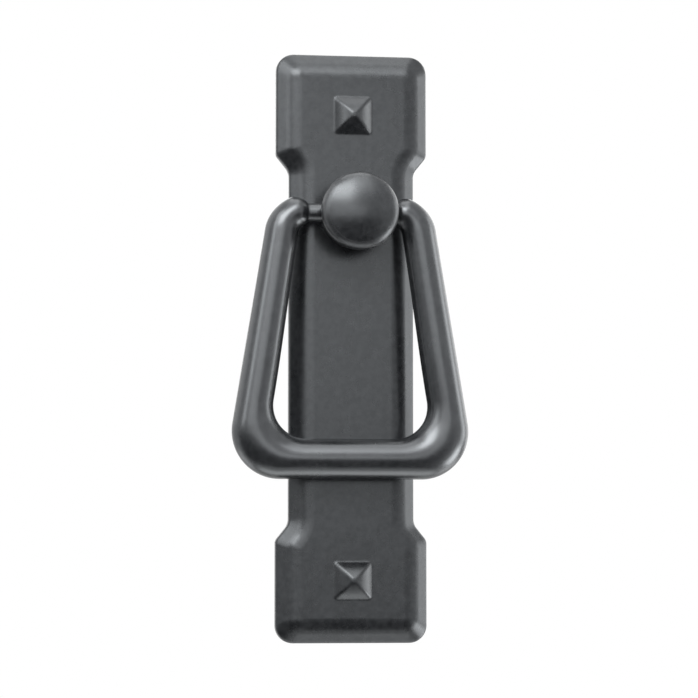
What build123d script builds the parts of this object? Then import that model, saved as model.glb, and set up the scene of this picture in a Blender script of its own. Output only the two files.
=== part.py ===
from build123d import *
import math
import os

# Drop knob: bevelled backplate, domed post and a hanging bail.
# Frame: X across, Z up along the plate, plate back on Y = 0, front towards -Y.
# The origin is where the axis of the fixing screw meets the plate's back. Sizes in mm and degrees.

# Backplate
plate_length = 100.0
plate_thickness = 3.2
plate_edge_height = 1.3
head_width = 25.85
neck_width = 21.36
head_length = 17.3
post_to_plate_top = 27.75
shoulder_angle = 39.0
end_corner_radius = 3.0
shoulder_outer_radius = 1.5
shoulder_inner_radius = 2.4
shoulder_fillet_share = 0.9
bevel_width = 2.75
bevel_corner_radius = 1.8
bevel_shoulder_radius = 1.8
crest_radius = 4.5
crest_fillet_share = 0.9
edge_radius = 0.4

# Pyramid studs with bulged sides, cast into the heads of the plate
stud_base = 6.4
stud_height = 1.9
stud_flat = 0.7
stud_bulge = 0.45
stud_foot_rounding = 0.5
stud_tip_rounding = 0.3
stud_steps = 4
stud_from_end = 10.55
stud_root = 0.5

# Post and its domed head
post_radius = 5.6
post_length = 6.8
head_radius = 6.55
head_edge_height = 2.3
head_rim_radius = 1.6
head_under_radius = 0.6
dome_rise = 1.5
post_top_fillet = 0.5
spigot_side = 6.4
spigot_corner_radius = 0.6
spigot_clearance = 0.05
screw_hole_radius = 1.65
screw_hole_depth = 10.0
screw_drill_point = 118.0

# Bail, measured from the pivot axis in its own plane
bail_plate_gap = 0.35
bail_side_play = 1.0
pintle_radius = 1.6
pintle_clearance = 0.08
pintle_grip = 2.1
pintle_end_gap = 0.1
pintle_chamfer = 0.3
ball_radius = 2.65
ball_post_gap = 0.15
elbow_inset = 2.0
elbow_bend_radius = 4.35
upper_leg_radius = 2.86
lower_leg_radius = 3.1
bar_radius = 3.4
leg_lean = 9.4
bar_drop = 41.37
corner_outer_radius = 8.0
corner_inner_radius = 5.5
corner_steps = 8
elbow_steps = 4
run_on_steps = 2
level_tolerance = 0.001

# Places that follow from the sizes, heights counted from the plate's back
plate_middle = post_to_plate_top - plate_length / 2
head_underside = plate_thickness + post_length
pivot_height = plate_thickness + bail_plate_gap + bar_radius
pintle_reach = post_radius - pintle_grip
ball_offset = post_radius + bail_side_play + ball_post_gap + ball_radius
elbow_centre_offset = ball_offset - elbow_inset

front = Plane(origin=(0, 0, 0), x_dir=(1, 0, 0), z_dir=(0, -1, 0))


# Plate outline moved in by inset, as a face at a height above the plate's back.
def outline(inset, end_radius, outer_radius, inner_radius, height):
    half_turn = math.tan(math.radians(shoulder_angle) / 2)
    climb = inset * half_turn
    step = (head_width - neck_width) / 2
    run = step / math.tan(math.radians(shoulder_angle))
    fillet_room = math.hypot(step, run) * shoulder_fillet_share / half_turn
    waist_radius = min(inner_radius, fillet_room - outer_radius)
    half_head = head_width / 2 - inset
    half_neck = neck_width / 2 - inset
    end = plate_length / 2 - inset
    shoulder = plate_length / 2 - head_length + climb
    quarter = [(half_head, end), (half_head, shoulder), (half_neck, shoulder - run)]
    right = quarter + [(x, -z) for x, z in reversed(quarter)]
    points = right + [(-x, z) for x, z in reversed(right)]
    radii = [end_radius, outer_radius, waist_radius]
    rounding = (radii + radii[::-1]) * 2
    loop = FilletPolyline(*points, radius=rounding, close=True)
    return front.offset(height) * (Pos(0, plate_middle) * make_face(loop))


def edges_at_height(solid, height):
    return [edge for edge in solid.edges() if abs(-edge.center().Y - height) < level_tolerance]


# Low pyramid with bulged sides and soft ridges, on a root let into the plate.
def make_stud(along):
    foot = front.offset(plate_thickness) * Pos(0, along)
    sections = []
    for step in range(stud_steps + 1):
        share = step / stud_steps
        side = stud_base + (stud_flat - stud_base) * share
        rounding = stud_foot_rounding + (stud_tip_rounding - stud_foot_rounding) * share
        rise = stud_height * (share + stud_bulge * share * (1 - share))
        sections.append(foot * Pos(0, 0, rise) * RectangleRounded(side, side, rounding))
    return loft(sections) + extrude(sections[0], stud_root, dir=(0, 1, 0))


def spigot_profile(grow):
    side = spigot_side + 2 * grow
    return RectangleRounded(side, side, spigot_corner_radius + grow)


def make_backplate():
    edge = (end_corner_radius, shoulder_outer_radius, shoulder_inner_radius)
    crest = (bevel_corner_radius, bevel_shoulder_radius, shoulder_inner_radius + bevel_width)
    slab = extrude(outline(0, *edge, 0), plate_edge_height, dir=(0, -1, 0))
    low = outline(0, *edge, plate_edge_height)
    high = outline(bevel_width, *crest, plate_thickness)
    plate = slab + loft([low, high], ruled=True)
    half_slope = math.atan2(plate_thickness - plate_edge_height, bevel_width) / 2
    corner_room = min(bevel_corner_radius, bevel_shoulder_radius) / math.tan(half_slope)
    crest_fillet = min(crest_radius, corner_room * crest_fillet_share)
    plate = fillet(edges_at_height(plate, plate_thickness), crest_fillet)
    plate = fillet(edges_at_height(plate, plate_edge_height), edge_radius)
    stud_reach = plate_length / 2 - stud_from_end
    plate += make_stud(plate_middle + stud_reach)
    plate += make_stud(plate_middle - stud_reach)
    plate -= extrude(front * spigot_profile(spigot_clearance), plate_thickness, dir=(0, -1, 0))
    return plate


def make_knob_post():
    rim_level = head_underside + head_edge_height
    dome_top = rim_level + dome_rise
    dome_ball = (head_radius**2 + dome_rise**2) / (2 * dome_rise)
    shank = extrude(front.offset(plate_thickness) * Circle(post_radius), post_length, dir=(0, -1, 0))
    head_height = dome_top - head_underside
    head = extrude(front.offset(head_underside) * Circle(head_radius), head_height, dir=(0, -1, 0))
    head &= Pos(0, dome_ball - dome_top, 0) * Sphere(dome_ball)
    post = shank + head
    post = fillet(edges_at_height(post, rim_level), head_rim_radius)
    under_edges = sorted(edges_at_height(post, head_underside), key=lambda edge: edge.radius)
    post = fillet(under_edges[-1], head_under_radius)
    under_edges = sorted(edges_at_height(post, head_underside), key=lambda edge: edge.radius)
    post = fillet(under_edges[0], post_top_fillet)
    post += extrude(front * spigot_profile(0), plate_thickness, dir=(0, -1, 0))
    post -= extrude(front * Circle(screw_hole_radius), screw_hole_depth, dir=(0, -1, 0))
    point_length = screw_hole_radius / math.tan(math.radians(screw_drill_point) / 2)
    point = Cone(screw_hole_radius, 0, point_length, align=(Align.CENTER, Align.CENTER, Align.MIN))
    post -= front.offset(screw_hole_depth) * point
    hole_bottom = pintle_reach - bail_side_play - pintle_end_gap
    hole_depth = post_radius - hole_bottom + pintle_end_gap
    for side in (1, -1):
        mouth = Plane(origin=(side * hole_bottom, -pivot_height, 0), z_dir=(side, 0, 0))
        post -= extrude(mouth * Circle(pintle_radius + pintle_clearance), hole_depth)
    return post


# Rod section at a point of the bail's plane, its first axis pointing away from the loop.
def rod_section(spot, angle, reach_radius, depth_radius):
    turn = math.radians(angle)
    place = Plane(
        origin=(spot.X, -pivot_height, spot.Y),
        x_dir=(math.cos(turn), 0, math.sin(turn)),
        z_dir=(math.sin(turn), 0, -math.cos(turn)),
    )
    return place * Ellipse(reach_radius, depth_radius)


def away(angle):
    turn = math.radians(angle)
    return Vector(math.cos(turn), math.sin(turn))


# Distance from the inner corner's centre along a ray to the bail's outer outline.
def corner_reach(ray, inner_centre, outer_centre, leg_reach):
    gap = inner_centre - outer_centre
    along = gap.dot(ray)
    to_arc = -along + math.sqrt(along**2 - gap.dot(gap) + corner_outer_radius**2)
    hit = inner_centre + ray * to_arc - outer_centre
    if hit.X >= 0 and math.degrees(math.atan2(hit.Y, hit.X)) <= leg_lean:
        return to_arc
    to_leg = leg_reach / max(ray.dot(away(leg_lean)), math.sin(math.radians(leg_lean)))
    to_bar = (corner_inner_radius + 2 * bar_radius) / max(-ray.Y, math.sin(math.radians(leg_lean)))
    return min(to_leg, to_bar)


def make_bail():
    normal = away(leg_lean)
    down = away(leg_lean - 90)
    elbow_centre = Vector(elbow_centre_offset, -math.sqrt(elbow_bend_radius**2 - elbow_inset**2))
    elbow_angle = math.degrees(math.acos(elbow_inset / elbow_bend_radius))
    outer_top = elbow_centre + normal * (elbow_bend_radius + upper_leg_radius)

    # Elbow from the ball end to the top of the leg, run on a little way down the leg
    elbow = []
    for step in range(elbow_steps + 1):
        share = step / elbow_steps
        angle = elbow_angle + (leg_lean - elbow_angle) * share
        radius = ball_radius + (upper_leg_radius - ball_radius) * share
        elbow.append(rod_section(elbow_centre + away(angle) * elbow_bend_radius, angle, radius, radius))
    elbow_pitch = elbow_bend_radius * math.radians(elbow_angle - leg_lean) / elbow_steps
    leg_top = elbow_centre + normal * elbow_bend_radius
    for step in range(1, run_on_steps + 1):
        spot = leg_top + down * (elbow_pitch * step)
        elbow.append(rod_section(spot, leg_lean, upper_leg_radius, upper_leg_radius))

    # Lower corner, rounder inside than a plain bend, run on a little way up the leg and along the bar
    inner_reach = 2 * lower_leg_radius + corner_inner_radius
    inner_y = -bar_drop + bar_radius + corner_inner_radius
    inner_x = (outer_top.dot(normal) - inner_reach - inner_y * normal.Y) / normal.X
    inner_centre = Vector(inner_x, inner_y)
    outer_y = -bar_drop - bar_radius + corner_outer_radius
    outer_x = (outer_top.dot(normal) - corner_outer_radius - outer_y * normal.Y) / normal.X
    outer_centre = Vector(outer_x, outer_y)
    corner_turn = 90 + leg_lean
    corner_pitch = (corner_inner_radius + bar_radius) * math.radians(corner_turn) / corner_steps
    corner_top = inner_centre + normal * (corner_inner_radius + lower_leg_radius)
    corner = []
    for step in range(run_on_steps, 0, -1):
        spot = corner_top - down * (corner_pitch * step)
        corner.append(rod_section(spot, leg_lean, lower_leg_radius, lower_leg_radius))
    for step in range(corner_steps + 1):
        share = step / corner_steps
        angle = leg_lean - corner_turn * share
        reach = corner_reach(away(angle), inner_centre, outer_centre, inner_reach)
        half = (reach - corner_inner_radius) / 2
        spot = inner_centre + away(angle) * (corner_inner_radius + half)
        depth_radius = lower_leg_radius + (bar_radius - lower_leg_radius) * share
        corner.append(rod_section(spot, angle, half, depth_radius))
    for step in range(1, run_on_steps + 1):
        spot = Vector(inner_centre.X - corner_pitch * step, -bar_drop)
        corner.append(rod_section(spot, -90, bar_radius, bar_radius))

    leg = loft([elbow[-1], corner[0]], ruled=True)
    bar_half = inner_centre.X - corner_pitch * run_on_steps
    bar = extrude(corner[-1], bar_half, dir=(-1, 0, 0))

    # Ball end and pintle
    end_turn = away(elbow_angle + 90)
    ball_place = Plane(origin=(ball_offset, -pivot_height, 0), z_dir=(end_turn.X, 0, end_turn.Y))
    ball = ball_place * Sphere(ball_radius, arc_size1=0, align=(Align.CENTER, Align.CENTER, Align.MIN))
    pintle_place = Plane(origin=(ball_offset, -pivot_height, 0), z_dir=(-1, 0, 0))
    pintle = extrude(pintle_place * Circle(pintle_radius), ball_offset - pintle_reach)
    pintle = chamfer(pintle.edges().sort_by(Axis.X)[0], pintle_chamfer)

    half = loft(elbow) + [leg, loft(corner), bar, ball, pintle]
    bail = half + mirror(half, Plane.YZ)
    return Pos(-bail_side_play, 0, 0) * bail


nodes = {"backplate": make_backplate(), "knob_post": make_knob_post(), "bail": make_bail()}
os.makedirs("parts", exist_ok=True)
for name, solid in nodes.items():
    export_step(solid, f"parts/{name}.step")
    print(name, "volume", round(solid.volume))
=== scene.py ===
import bmesh
import bpy
import math
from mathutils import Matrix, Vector


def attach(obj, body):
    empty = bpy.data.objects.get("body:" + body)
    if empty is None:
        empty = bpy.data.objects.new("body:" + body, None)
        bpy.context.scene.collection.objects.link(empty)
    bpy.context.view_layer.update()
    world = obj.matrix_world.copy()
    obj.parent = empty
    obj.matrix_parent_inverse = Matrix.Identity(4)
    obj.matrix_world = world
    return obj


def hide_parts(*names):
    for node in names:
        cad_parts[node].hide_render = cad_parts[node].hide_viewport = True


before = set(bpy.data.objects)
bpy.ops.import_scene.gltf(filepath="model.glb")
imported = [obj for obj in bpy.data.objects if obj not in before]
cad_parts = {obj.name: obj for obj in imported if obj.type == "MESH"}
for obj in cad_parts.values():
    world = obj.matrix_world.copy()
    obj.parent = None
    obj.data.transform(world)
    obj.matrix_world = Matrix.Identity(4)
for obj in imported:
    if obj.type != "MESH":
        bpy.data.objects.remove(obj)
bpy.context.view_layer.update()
print("drop knob: frame loaded,", len(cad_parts), "castings")


# A shader socket that can be used in Python expressions; plain numbers stay numbers.
class Wire:
    def __init__(self, tree, socket=None):
        self.tree = tree
        self.socket = socket

    # any node: its type, its settings (set first), the values or links of its sockets, and the output wanted
    def node(self, kind, settings=None, sockets=None, output=0):
        made = self.tree.nodes.new(kind)
        for name, value in (settings or {}).items():
            setattr(made, name, value)
        for name, value in (sockets or {}).items():
            if isinstance(value, Wire):
                self.tree.links.new(value.socket, made.inputs[name])
            else:
                made.inputs[name].default_value = value
        return Wire(self.tree, made.outputs[output]) if len(made.outputs) else None

    def math(self, operation, first, second):
        return self.node("ShaderNodeMath", {"operation": operation}, {0: first, 1: second})

    def __add__(self, other):
        return self.math("ADD", self, other)

    def __radd__(self, other):
        return self.math("ADD", other, self)

    def __sub__(self, other):
        return self.math("SUBTRACT", self, other)

    def __rsub__(self, other):
        return self.math("SUBTRACT", other, self)

    def __mul__(self, other):
        return self.math("MULTIPLY", self, other)

    def __rmul__(self, other):
        return self.math("MULTIPLY", other, self)

    # the value from low to high, stretched to 0..1 and held there
    def spread(self, low, high):
        return self.node("ShaderNodeMapRange", {"interpolation_type": "SMOOTHSTEP"},
                         {"Value": self, "From Min": low, "From Max": high})

    # from the first colour at 0 to the second at 1
    def blend(self, first, second):
        return self.node("ShaderNodeMix", {"data_type": "RGBA"}, {0: self, 6: first, 7: second}, 2)

    # how far a direction leans along another
    def dot(self, other):
        return self.node("ShaderNodeVectorMath", {"operation": "DOT_PRODUCT"}, {0: self, 1: other}, "Value")


def newMaterial(name):
    made = bpy.data.materials.new(name)
    made.use_nodes = True
    made.node_tree.nodes.clear()
    return made, Wire(made.node_tree)


def noiseOf(wire, place, cell, detail, roughness=0.5):
    return wire.node("ShaderNodeTexNoise", None,
                     {"Vector": place, "Scale": 1 / cell, "Detail": detail, "Roughness": roughness}, "Fac")


# Satin black coat over zinc castings, rubbed thinner along the edges by handling; round the knob's rim the
# lighter edge colour is a painted highlight as well as rubbing
coat = {
    "deep": (0.0050, 0.0054, 0.0063, 1), "pale": (0.0165, 0.0172, 0.0188, 1),
    "wornAndSheenColour": (0.070, 0.072, 0.075, 1), "tint": (0.92, 0.965, 1.0, 1),
    "cloudDetail": (3.0, 0.6), "grainDetail": (2.0, 0.55), "peelDetail": (1.0, 0.5),
    "grainShare": 0.7, "cloudShare": 0.3, "toneRange": (0.30, 0.70),
    "wearAndSheenRange": (0.22, 0.62), "wearAndSheenPolish": 0.04, "edgeSamples": 6,
}

# cell sizes, edge reach and peel height in metres
backplateLook = {
    "shift": (0.0, 0.0, 0.0), "cloudCell": 0.006, "grainCell": 0.0009, "peelCell": 0.0022,
    "edgeReach": 0.0005, "edgeTurn": (0.01, 0.16), "wearAndSheenShare": 0.35,
    "roughness": 0.28, "cloudRough": 0.10, "specular": 0.64, "peelHeight": 0.000012,
}
knobPostLook = {
    "shift": (0.31, 0.17, 0.23), "cloudCell": 0.005, "grainCell": 0.0009, "peelCell": 0.0018,
    # a wide, strong edge band: the light rim of the head is a painted highlight as well as rubbing
    "edgeReach": 0.0012, "edgeTurn": (0.0008, 0.010), "wearAndSheenShare": 0.8,
    "roughness": 0.27, "cloudRough": 0.08, "specular": 0.70, "peelHeight": 0.000006,
}
bailLook = {
    "shift": (0.13, 0.41, 0.37), "cloudCell": 0.005, "grainCell": 0.0009, "peelCell": 0.0018,
    "edgeReach": 0.0006, "edgeTurn": (0.01, 0.16), "wearAndSheenShare": 0.4,
    "roughness": 0.26, "cloudRough": 0.08, "specular": 0.96, "peelHeight": 0.000006,
}


def satinCoat(name, look):
    made, wire = newMaterial(name)
    spot = wire.node("ShaderNodeTexCoord", None, None, "Object")
    place = wire.node("ShaderNodeVectorMath", {"operation": "ADD"}, {0: spot, 1: look["shift"]})
    cloud = noiseOf(wire, place, look["cloudCell"], *coat["cloudDetail"])
    grain = noiseOf(wire, place, look["grainCell"], *coat["grainDetail"])
    peel = noiseOf(wire, place, look["peelCell"], *coat["peelDetail"])

    # edges that hands and the bail polish, where the softened normal leans off the true one; on the knob's
    # rim this lighter band is a painted highlight as well as rubbing
    trueNormal = wire.node("ShaderNodeNewGeometry", None, None, "Normal")
    soft = wire.node("ShaderNodeBevel", {"samples": coat["edgeSamples"]}, {"Radius": look["edgeReach"]})
    edge = (1 - soft.dot(trueNormal)).spread(*look["edgeTurn"])
    wearAndSheen = edge * cloud.spread(*coat["wearAndSheenRange"]) * look["wearAndSheenShare"]

    tone = (grain * coat["grainShare"] + cloud * coat["cloudShare"]).spread(*coat["toneRange"])
    colour = wearAndSheen.blend(tone.blend(coat["deep"], coat["pale"]), coat["wornAndSheenColour"])
    rough = look["roughness"] + (cloud - 0.5) * look["cloudRough"] - wearAndSheen * coat["wearAndSheenPolish"]
    bumped = wire.node("ShaderNodeBump", None, {
        "Strength": 1.0, "Distance": 1.0, "Height": peel * look["peelHeight"], "Normal": soft})
    shader = wire.node("ShaderNodeBsdfPrincipled", None, {
        "Base Color": colour, "Roughness": rough, "Normal": bumped, "Specular IOR Level": look["specular"],
        "Specular Tint": coat["tint"]})
    wire.node("ShaderNodeOutputMaterial", None, {"Surface": shader})
    return made


for node, look in (("backplate", backplateLook), ("knob_post", knobPostLook)):
    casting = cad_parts[node]
    casting.data.materials.clear()
    casting.data.materials.append(satinCoat("satin_black_" + node, look))
    print("coated", node, len(casting.data.polygons), "faces")


# The drop handle is one rod swept from ball to ball, so that its highlights run on without a step.
# Sizes in metres and degrees, from the middle of the pivot axis, and the count of sections in each run.
bailShape = {
    "middle": -0.001, "depth": -0.00695, "ballOffset": 0.0094, "ballRadius": 0.00265,
    "elbowInset": 0.002, "elbowBend": 0.00435, "upperRadius": 0.00286, "lowerRadius": 0.0031, "lean": 9.4,
    "barRadius": 0.0034, "barDrop": 0.04137, "outerCorner": 0.00806, "innerCorner": 0.0055,
    "pintleRadius": 0.0016, "pintleTip": 0.0035, "pintleChamfer": 0.0003, "sharp": 35,
    "around": 64, "ballRings": 12, "elbowRings": 18, "legRings": 16, "cornerRings": 48, "barRings": 10,
}


def ease(share):
    return share * share * (3 - 2 * share)


def awayFrom(turn):
    return Vector((math.cos(turn), 0, math.sin(turn)))


# sections of the right half, from the ball to the middle of the bar: centre, turn, reach and depth
def rodSections(size):
    lean = math.radians(size["lean"])
    outward, down = awayFrom(lean), awayFrom(lean - math.pi / 2)
    bend, inner, outer = size["elbowBend"], size["innerCorner"], size["outerCorner"]
    upper, lower, bar = size["upperRadius"], size["lowerRadius"], size["barRadius"]
    sections = []

    # ball end, then the elbow
    elbowTurn = math.acos(size["elbowInset"] / bend)
    elbowCentre = Vector((size["ballOffset"] - size["elbowInset"], 0, -bend * math.sin(elbowTurn)))
    ball, end = Vector((size["ballOffset"], 0, 0)), awayFrom(elbowTurn + math.pi / 2)
    for step in range(1, size["ballRings"]):
        rise = math.pi / 2 * (1 - step / size["ballRings"])
        radius = size["ballRadius"] * math.cos(rise)
        sections.append((ball + end * size["ballRadius"] * math.sin(rise), elbowTurn, radius, radius))
    for step in range(size["elbowRings"]):
        share = step / size["elbowRings"]
        turn = elbowTurn + (lean - elbowTurn) * share
        radius = size["ballRadius"] + (upper - size["ballRadius"]) * ease(share)
        sections.append((elbowCentre + awayFrom(turn) * bend, turn, radius, radius))

    # centres of the lower corner's two bends, from the leg's outer line and the bar
    edge = elbowCentre.dot(outward) + bend + upper
    innerReach = 2 * lower + inner
    innerZ, outerZ = bar + inner - size["barDrop"], outer - bar - size["barDrop"]
    innerCentre = Vector(((edge - innerReach - innerZ * outward.z) / outward.x, 0, innerZ))
    outerCentre = Vector(((edge - outer - outerZ * outward.z) / outward.x, 0, outerZ))

    # the leg thickens on its inner side, and its outer side stays straight
    legLength = (innerCentre - elbowCentre).dot(down)
    for step in range(size["legRings"]):
        share = step / size["legRings"]
        radius = upper + (lower - upper) * ease(share)
        centre = elbowCentre + outward * (bend + upper - radius) + down * (legLength * share)
        sections.append((centre, lean, radius, radius))

    # each section of the corner reaches from the inner bend to the outer one, or to the straight beside it
    gap = innerCentre - outerCentre
    for step in range(size["cornerRings"] + 1):
        share = step / size["cornerRings"]
        turn = lean - (math.pi / 2 + lean) * share
        ray = awayFrom(turn)
        along = gap.dot(ray)
        reach = math.sqrt(along ** 2 - gap.dot(gap) + outer ** 2) - along
        hit = gap + ray * reach
        if hit.x < 0 or math.atan2(hit.z, hit.x) > lean:
            toLeg = innerReach / max(ray.dot(outward), math.sin(lean))
            toBar = (inner + 2 * bar) / max(-ray.z, math.sin(lean))
            reach = min(toLeg, toBar)
        half = (reach - inner) / 2
        depth = lower + (bar - lower) * ease(share)
        sections.append((innerCentre + ray * (inner + half), turn, half, depth))
    for step in range(1, size["barRings"] + 1):
        place = Vector((innerCentre.x * (1 - step / size["barRings"]), 0, -size["barDrop"]))
        sections.append((place, -math.pi / 2, bar, bar))
    return sections, ball + end * size["ballRadius"]


# skin over rings of points, closed at both ends by a point or a flat face
def skin(name, rings, tips=(None, None)):
    shape = bmesh.new()
    rows = [[shape.verts.new(point) for point in ring] for ring in rings]
    count = len(rings[0])
    for first, second in zip(rows, rows[1:]):
        for i in range(count):
            shape.faces.new((first[i], first[(i + 1) % count], second[(i + 1) % count], second[i]))
    for row, tip in zip((rows[0], rows[-1]), tips):
        if tip is None:
            shape.faces.new(row)
        else:
            top = shape.verts.new(tip)
            for i in range(count):
                shape.faces.new((row[i], row[(i + 1) % count], top))
    bmesh.ops.recalc_face_normals(shape, faces=shape.faces)
    mesh = bpy.data.meshes.new(name)
    shape.to_mesh(mesh)
    shape.free()
    made = bpy.data.objects.new(name, mesh)
    bpy.context.scene.collection.objects.link(made)
    return made


def makeBail(size, look):
    place = Vector((size["middle"], size["depth"], 0))
    flip = Vector((-1, 1, 1))
    angles = [2 * math.pi * i / size["around"] for i in range(size["around"])]
    circle = [(math.cos(angle), math.sin(angle)) for angle in angles]
    sections, tip = rodSections(size)
    half = [[centre + awayFrom(turn) * (reach * c) + Vector((0, depth * d, 0)) for c, d in circle]
            for centre, turn, reach, depth in sections]
    rings = half + [[point * flip for point in ring] for ring in half[-2::-1]]
    rod = skin("bailRod", [[place + point for point in ring] for ring in rings],
               (place + tip, place + tip * flip))

    # a pintle let into each ball
    radius, end, chamfer = size["pintleRadius"], size["pintleTip"], size["pintleChamfer"]
    profile = ((size["ballOffset"], radius), (end + chamfer, radius), (end, radius - chamfer))
    pintles = []
    for side in (1, -1):
        turned = [[place + Vector((side * x, r * c, r * d)) for c, d in circle] for x, r in profile]
        pintles.append(skin("pintle", turned))
        union = rod.modifiers.new("union", "BOOLEAN")
        union.operation, union.solver, union.object = "UNION", "EXACT", pintles[-1]
    whole = bpy.data.meshes.new_from_object(rod.evaluated_get(bpy.context.evaluated_depsgraph_get()))
    rod.modifiers.clear()
    rod.data = whole
    for pintle in pintles:
        bpy.data.objects.remove(pintle)

    whole.shade_smooth()
    whole.set_sharp_from_angle(angle=math.radians(size["sharp"]))
    whole.materials.clear()
    whole.materials.append(satinCoat("satin_black_bail", look))
    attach(rod, "bail")
    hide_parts("bail")
    print("bail swept,", len(whole.polygons), "faces")


makeBail(bailShape, bailLook)


# Pale floor well below the hanging plate, out of the main view
floorLook = {
    "level": -0.6, "radius": 0.45, "sides": 96,
    "pale": (0.78, 0.78, 0.77, 1), "shade": (0.765, 0.765, 0.755, 1),
    "mottleCell": 0.05, "mottleDetail": 3.0, "mottleRange": (0.35, 0.65), "roughness": 0.7, "specular": 0.2,
}


def makeFloor(look):
    mesh = bpy.data.meshes.new("studioFloor")
    angles = [2 * math.pi * i / look["sides"] for i in range(look["sides"])]
    ring = [(look["radius"] * math.cos(a), look["radius"] * math.sin(a), look["level"]) for a in angles]
    mesh.from_pydata(ring, [], [list(range(look["sides"]))])
    floor = bpy.data.objects.new("studioFloor", mesh)
    bpy.context.scene.collection.objects.link(floor)
    made, wire = newMaterial("pale_floor")
    place = wire.node("ShaderNodeTexCoord", None, None, "Object")
    mottle = noiseOf(wire, place, look["mottleCell"], look["mottleDetail"]).spread(*look["mottleRange"])
    shader = wire.node("ShaderNodeBsdfPrincipled", None, {
        "Base Color": mottle.blend(look["shade"], look["pale"]),
        "Roughness": look["roughness"], "Specular IOR Level": look["specular"]})
    wire.node("ShaderNodeOutputMaterial", None, {"Surface": shader})
    mesh.materials.append(made)
    print("floor laid")


makeFloor(floorLook)


# White surroundings for what the lens and the gloss see; a lower level lights the castings.
# The open front of the light tent, below the lens, stays dim in the gloss.
sky = {
    "white": (1, 1, 1, 1), "level": 0.28, "dim": 0.09,
    "mouthBelow": (-0.06, 0.16), "mouthRight": (0.4, 0.8), "mouthAhead": (-0.05, 0.3),
}


def makeSky(look):
    world = bpy.data.worlds.new("studioSky")
    bpy.context.scene.world = world
    world.use_nodes = True
    world.node_tree.nodes.clear()
    wire = Wire(world.node_tree)
    toward = wire.node("ShaderNodeTexCoord", None, None, "Generated")
    below = toward.dot((0, 0, -1)).spread(*look["mouthBelow"])
    right = toward.dot((1, 0, 0)).spread(*look["mouthRight"])
    ahead = toward.dot((0, -1, 0)).spread(*look["mouthAhead"])
    mouth = below * (1 - right) * ahead
    seen = wire.node("ShaderNodeLightPath", None, None, "Is Camera Ray")
    gloss = wire.node("ShaderNodeLightPath", None, None, "Is Glossy Ray")
    through = wire.node("ShaderNodeLightPath", None, None, "Is Transmission Ray")
    shown = wire.math("MINIMUM", seen + through + gloss * (1 - mouth * (1 - look["dim"])), 1.0)
    lit = look["level"] * (1 - gloss) * (1 - seen) * (1 - through)
    light = wire.node("ShaderNodeBackground", None, {"Color": look["white"], "Strength": lit + shown})
    wire.node("ShaderNodeOutputWorld", None, {"Surface": light})
    print("sky set")


makeSky(sky)

# Soft boxes: where they stand round the plate (azimuth, elevation, distance), their size and power
lamps = {
    "keyBox": {"turn": -21, "lift": 34, "reach": 0.70, "wide": 0.40, "tall": 0.28, "watts": 3.0},
    "keyScrim": {"turn": -28, "lift": 34, "reach": 0.72, "wide": 0.84, "tall": 0.58, "watts": 1.6},
    "topBank": {"turn": 10, "lift": 48, "reach": 0.70, "wide": 0.34, "tall": 0.42, "watts": 1.1},
    "overhead": {"turn": 0, "lift": 92, "reach": 0.70, "wide": 0.50, "tall": 0.60, "watts": 1.8},
    "leftBox": {"turn": -56, "lift": 29, "reach": 0.70, "wide": 0.22, "tall": 0.62, "watts": 1.25},
    "leftRear": {"turn": -116, "lift": 32, "reach": 0.70, "wide": 0.50, "tall": 0.60, "watts": 0.55},
    "rightBank": {"turn": 82, "lift": -11, "reach": 0.70, "wide": 0.30, "tall": 0.84, "watts": 1.6},
    "rightSide": {"turn": 92, "lift": 12, "reach": 0.70, "wide": 0.25, "tall": 0.60, "watts": 1.1},
    "rightLow": {"turn": 75, "lift": -30, "reach": 0.70, "wide": 0.30, "tall": 0.30, "watts": 1.6},
    "rightRear": {"turn": 126, "lift": 12, "reach": 0.70, "wide": 0.45, "tall": 0.64, "watts": 1.2},
    "rightUnder": {"turn": 110, "lift": -42, "reach": 0.70, "wide": 0.35, "tall": 0.35, "watts": 0.6},
    "leftUnder": {"turn": -120, "lift": -38, "reach": 0.70, "wide": 0.35, "tall": 0.35, "watts": 0.4},
    "rearFill": {"turn": 178, "lift": 24, "reach": 0.80, "wide": 0.70, "tall": 0.50, "watts": 1.6},
    "frontStrip": {"turn": -10, "lift": 6, "reach": 0.75, "wide": 0.62, "tall": 0.18, "watts": 0.56},
    "lowCard": {"turn": 0, "lift": -88, "reach": 0.50, "wide": 0.50, "tall": 0.24, "watts": 0.65},
}
aim = Vector((0, 0, -0.0224))   # what the lamps face, half-way down the plate


def standAt(turn, lift, reach):
    a, e = math.radians(turn), math.radians(lift)
    return aim + Vector((math.sin(a) * math.cos(e), -math.cos(a) * math.cos(e), math.sin(e))) * reach


def makeLamps(boxes):
    for name, box in boxes.items():
        light = bpy.data.lights.new(name, "AREA")
        light.shape = "RECTANGLE"
        light.size, light.size_y, light.energy = box["wide"], box["tall"], box["watts"]
        lamp = bpy.data.objects.new(name, light)
        lamp.location = standAt(box["turn"], box["lift"], box["reach"])
        lamp.rotation_euler = (aim - lamp.location).to_track_quat("-Z", "Y").to_euler()
        lamp.visible_camera = False
        bpy.context.scene.collection.objects.link(lamp)
    print("lamps set,", len(boxes))


makeLamps(lamps)

# Long lens, a little left of and below the plate's axis
lens = {
    "turn": -8.7, "lift": -3.95, "reach": 0.52, "target": (-0.0002, 0, -0.0224),
    "focal": 157.5, "sensor": 36.0, "near": 0.01, "far": 50,
}


def makeCamera(look):
    data = bpy.data.cameras.new("studioCamera")
    data.lens, data.sensor_width = look["focal"], look["sensor"]
    data.clip_start, data.clip_end = look["near"], look["far"]
    camera = bpy.data.objects.new("studioCamera", data)
    target = Vector(look["target"])
    camera.location = target + standAt(look["turn"], look["lift"], look["reach"]) - aim
    camera.rotation_euler = (target - camera.location).to_track_quat("-Z", "Y").to_euler()
    bpy.context.scene.collection.objects.link(camera)
    bpy.context.scene.camera = camera
    print("camera set")


makeCamera(lens)
bpy.context.scene.view_settings.view_transform = "Standard"
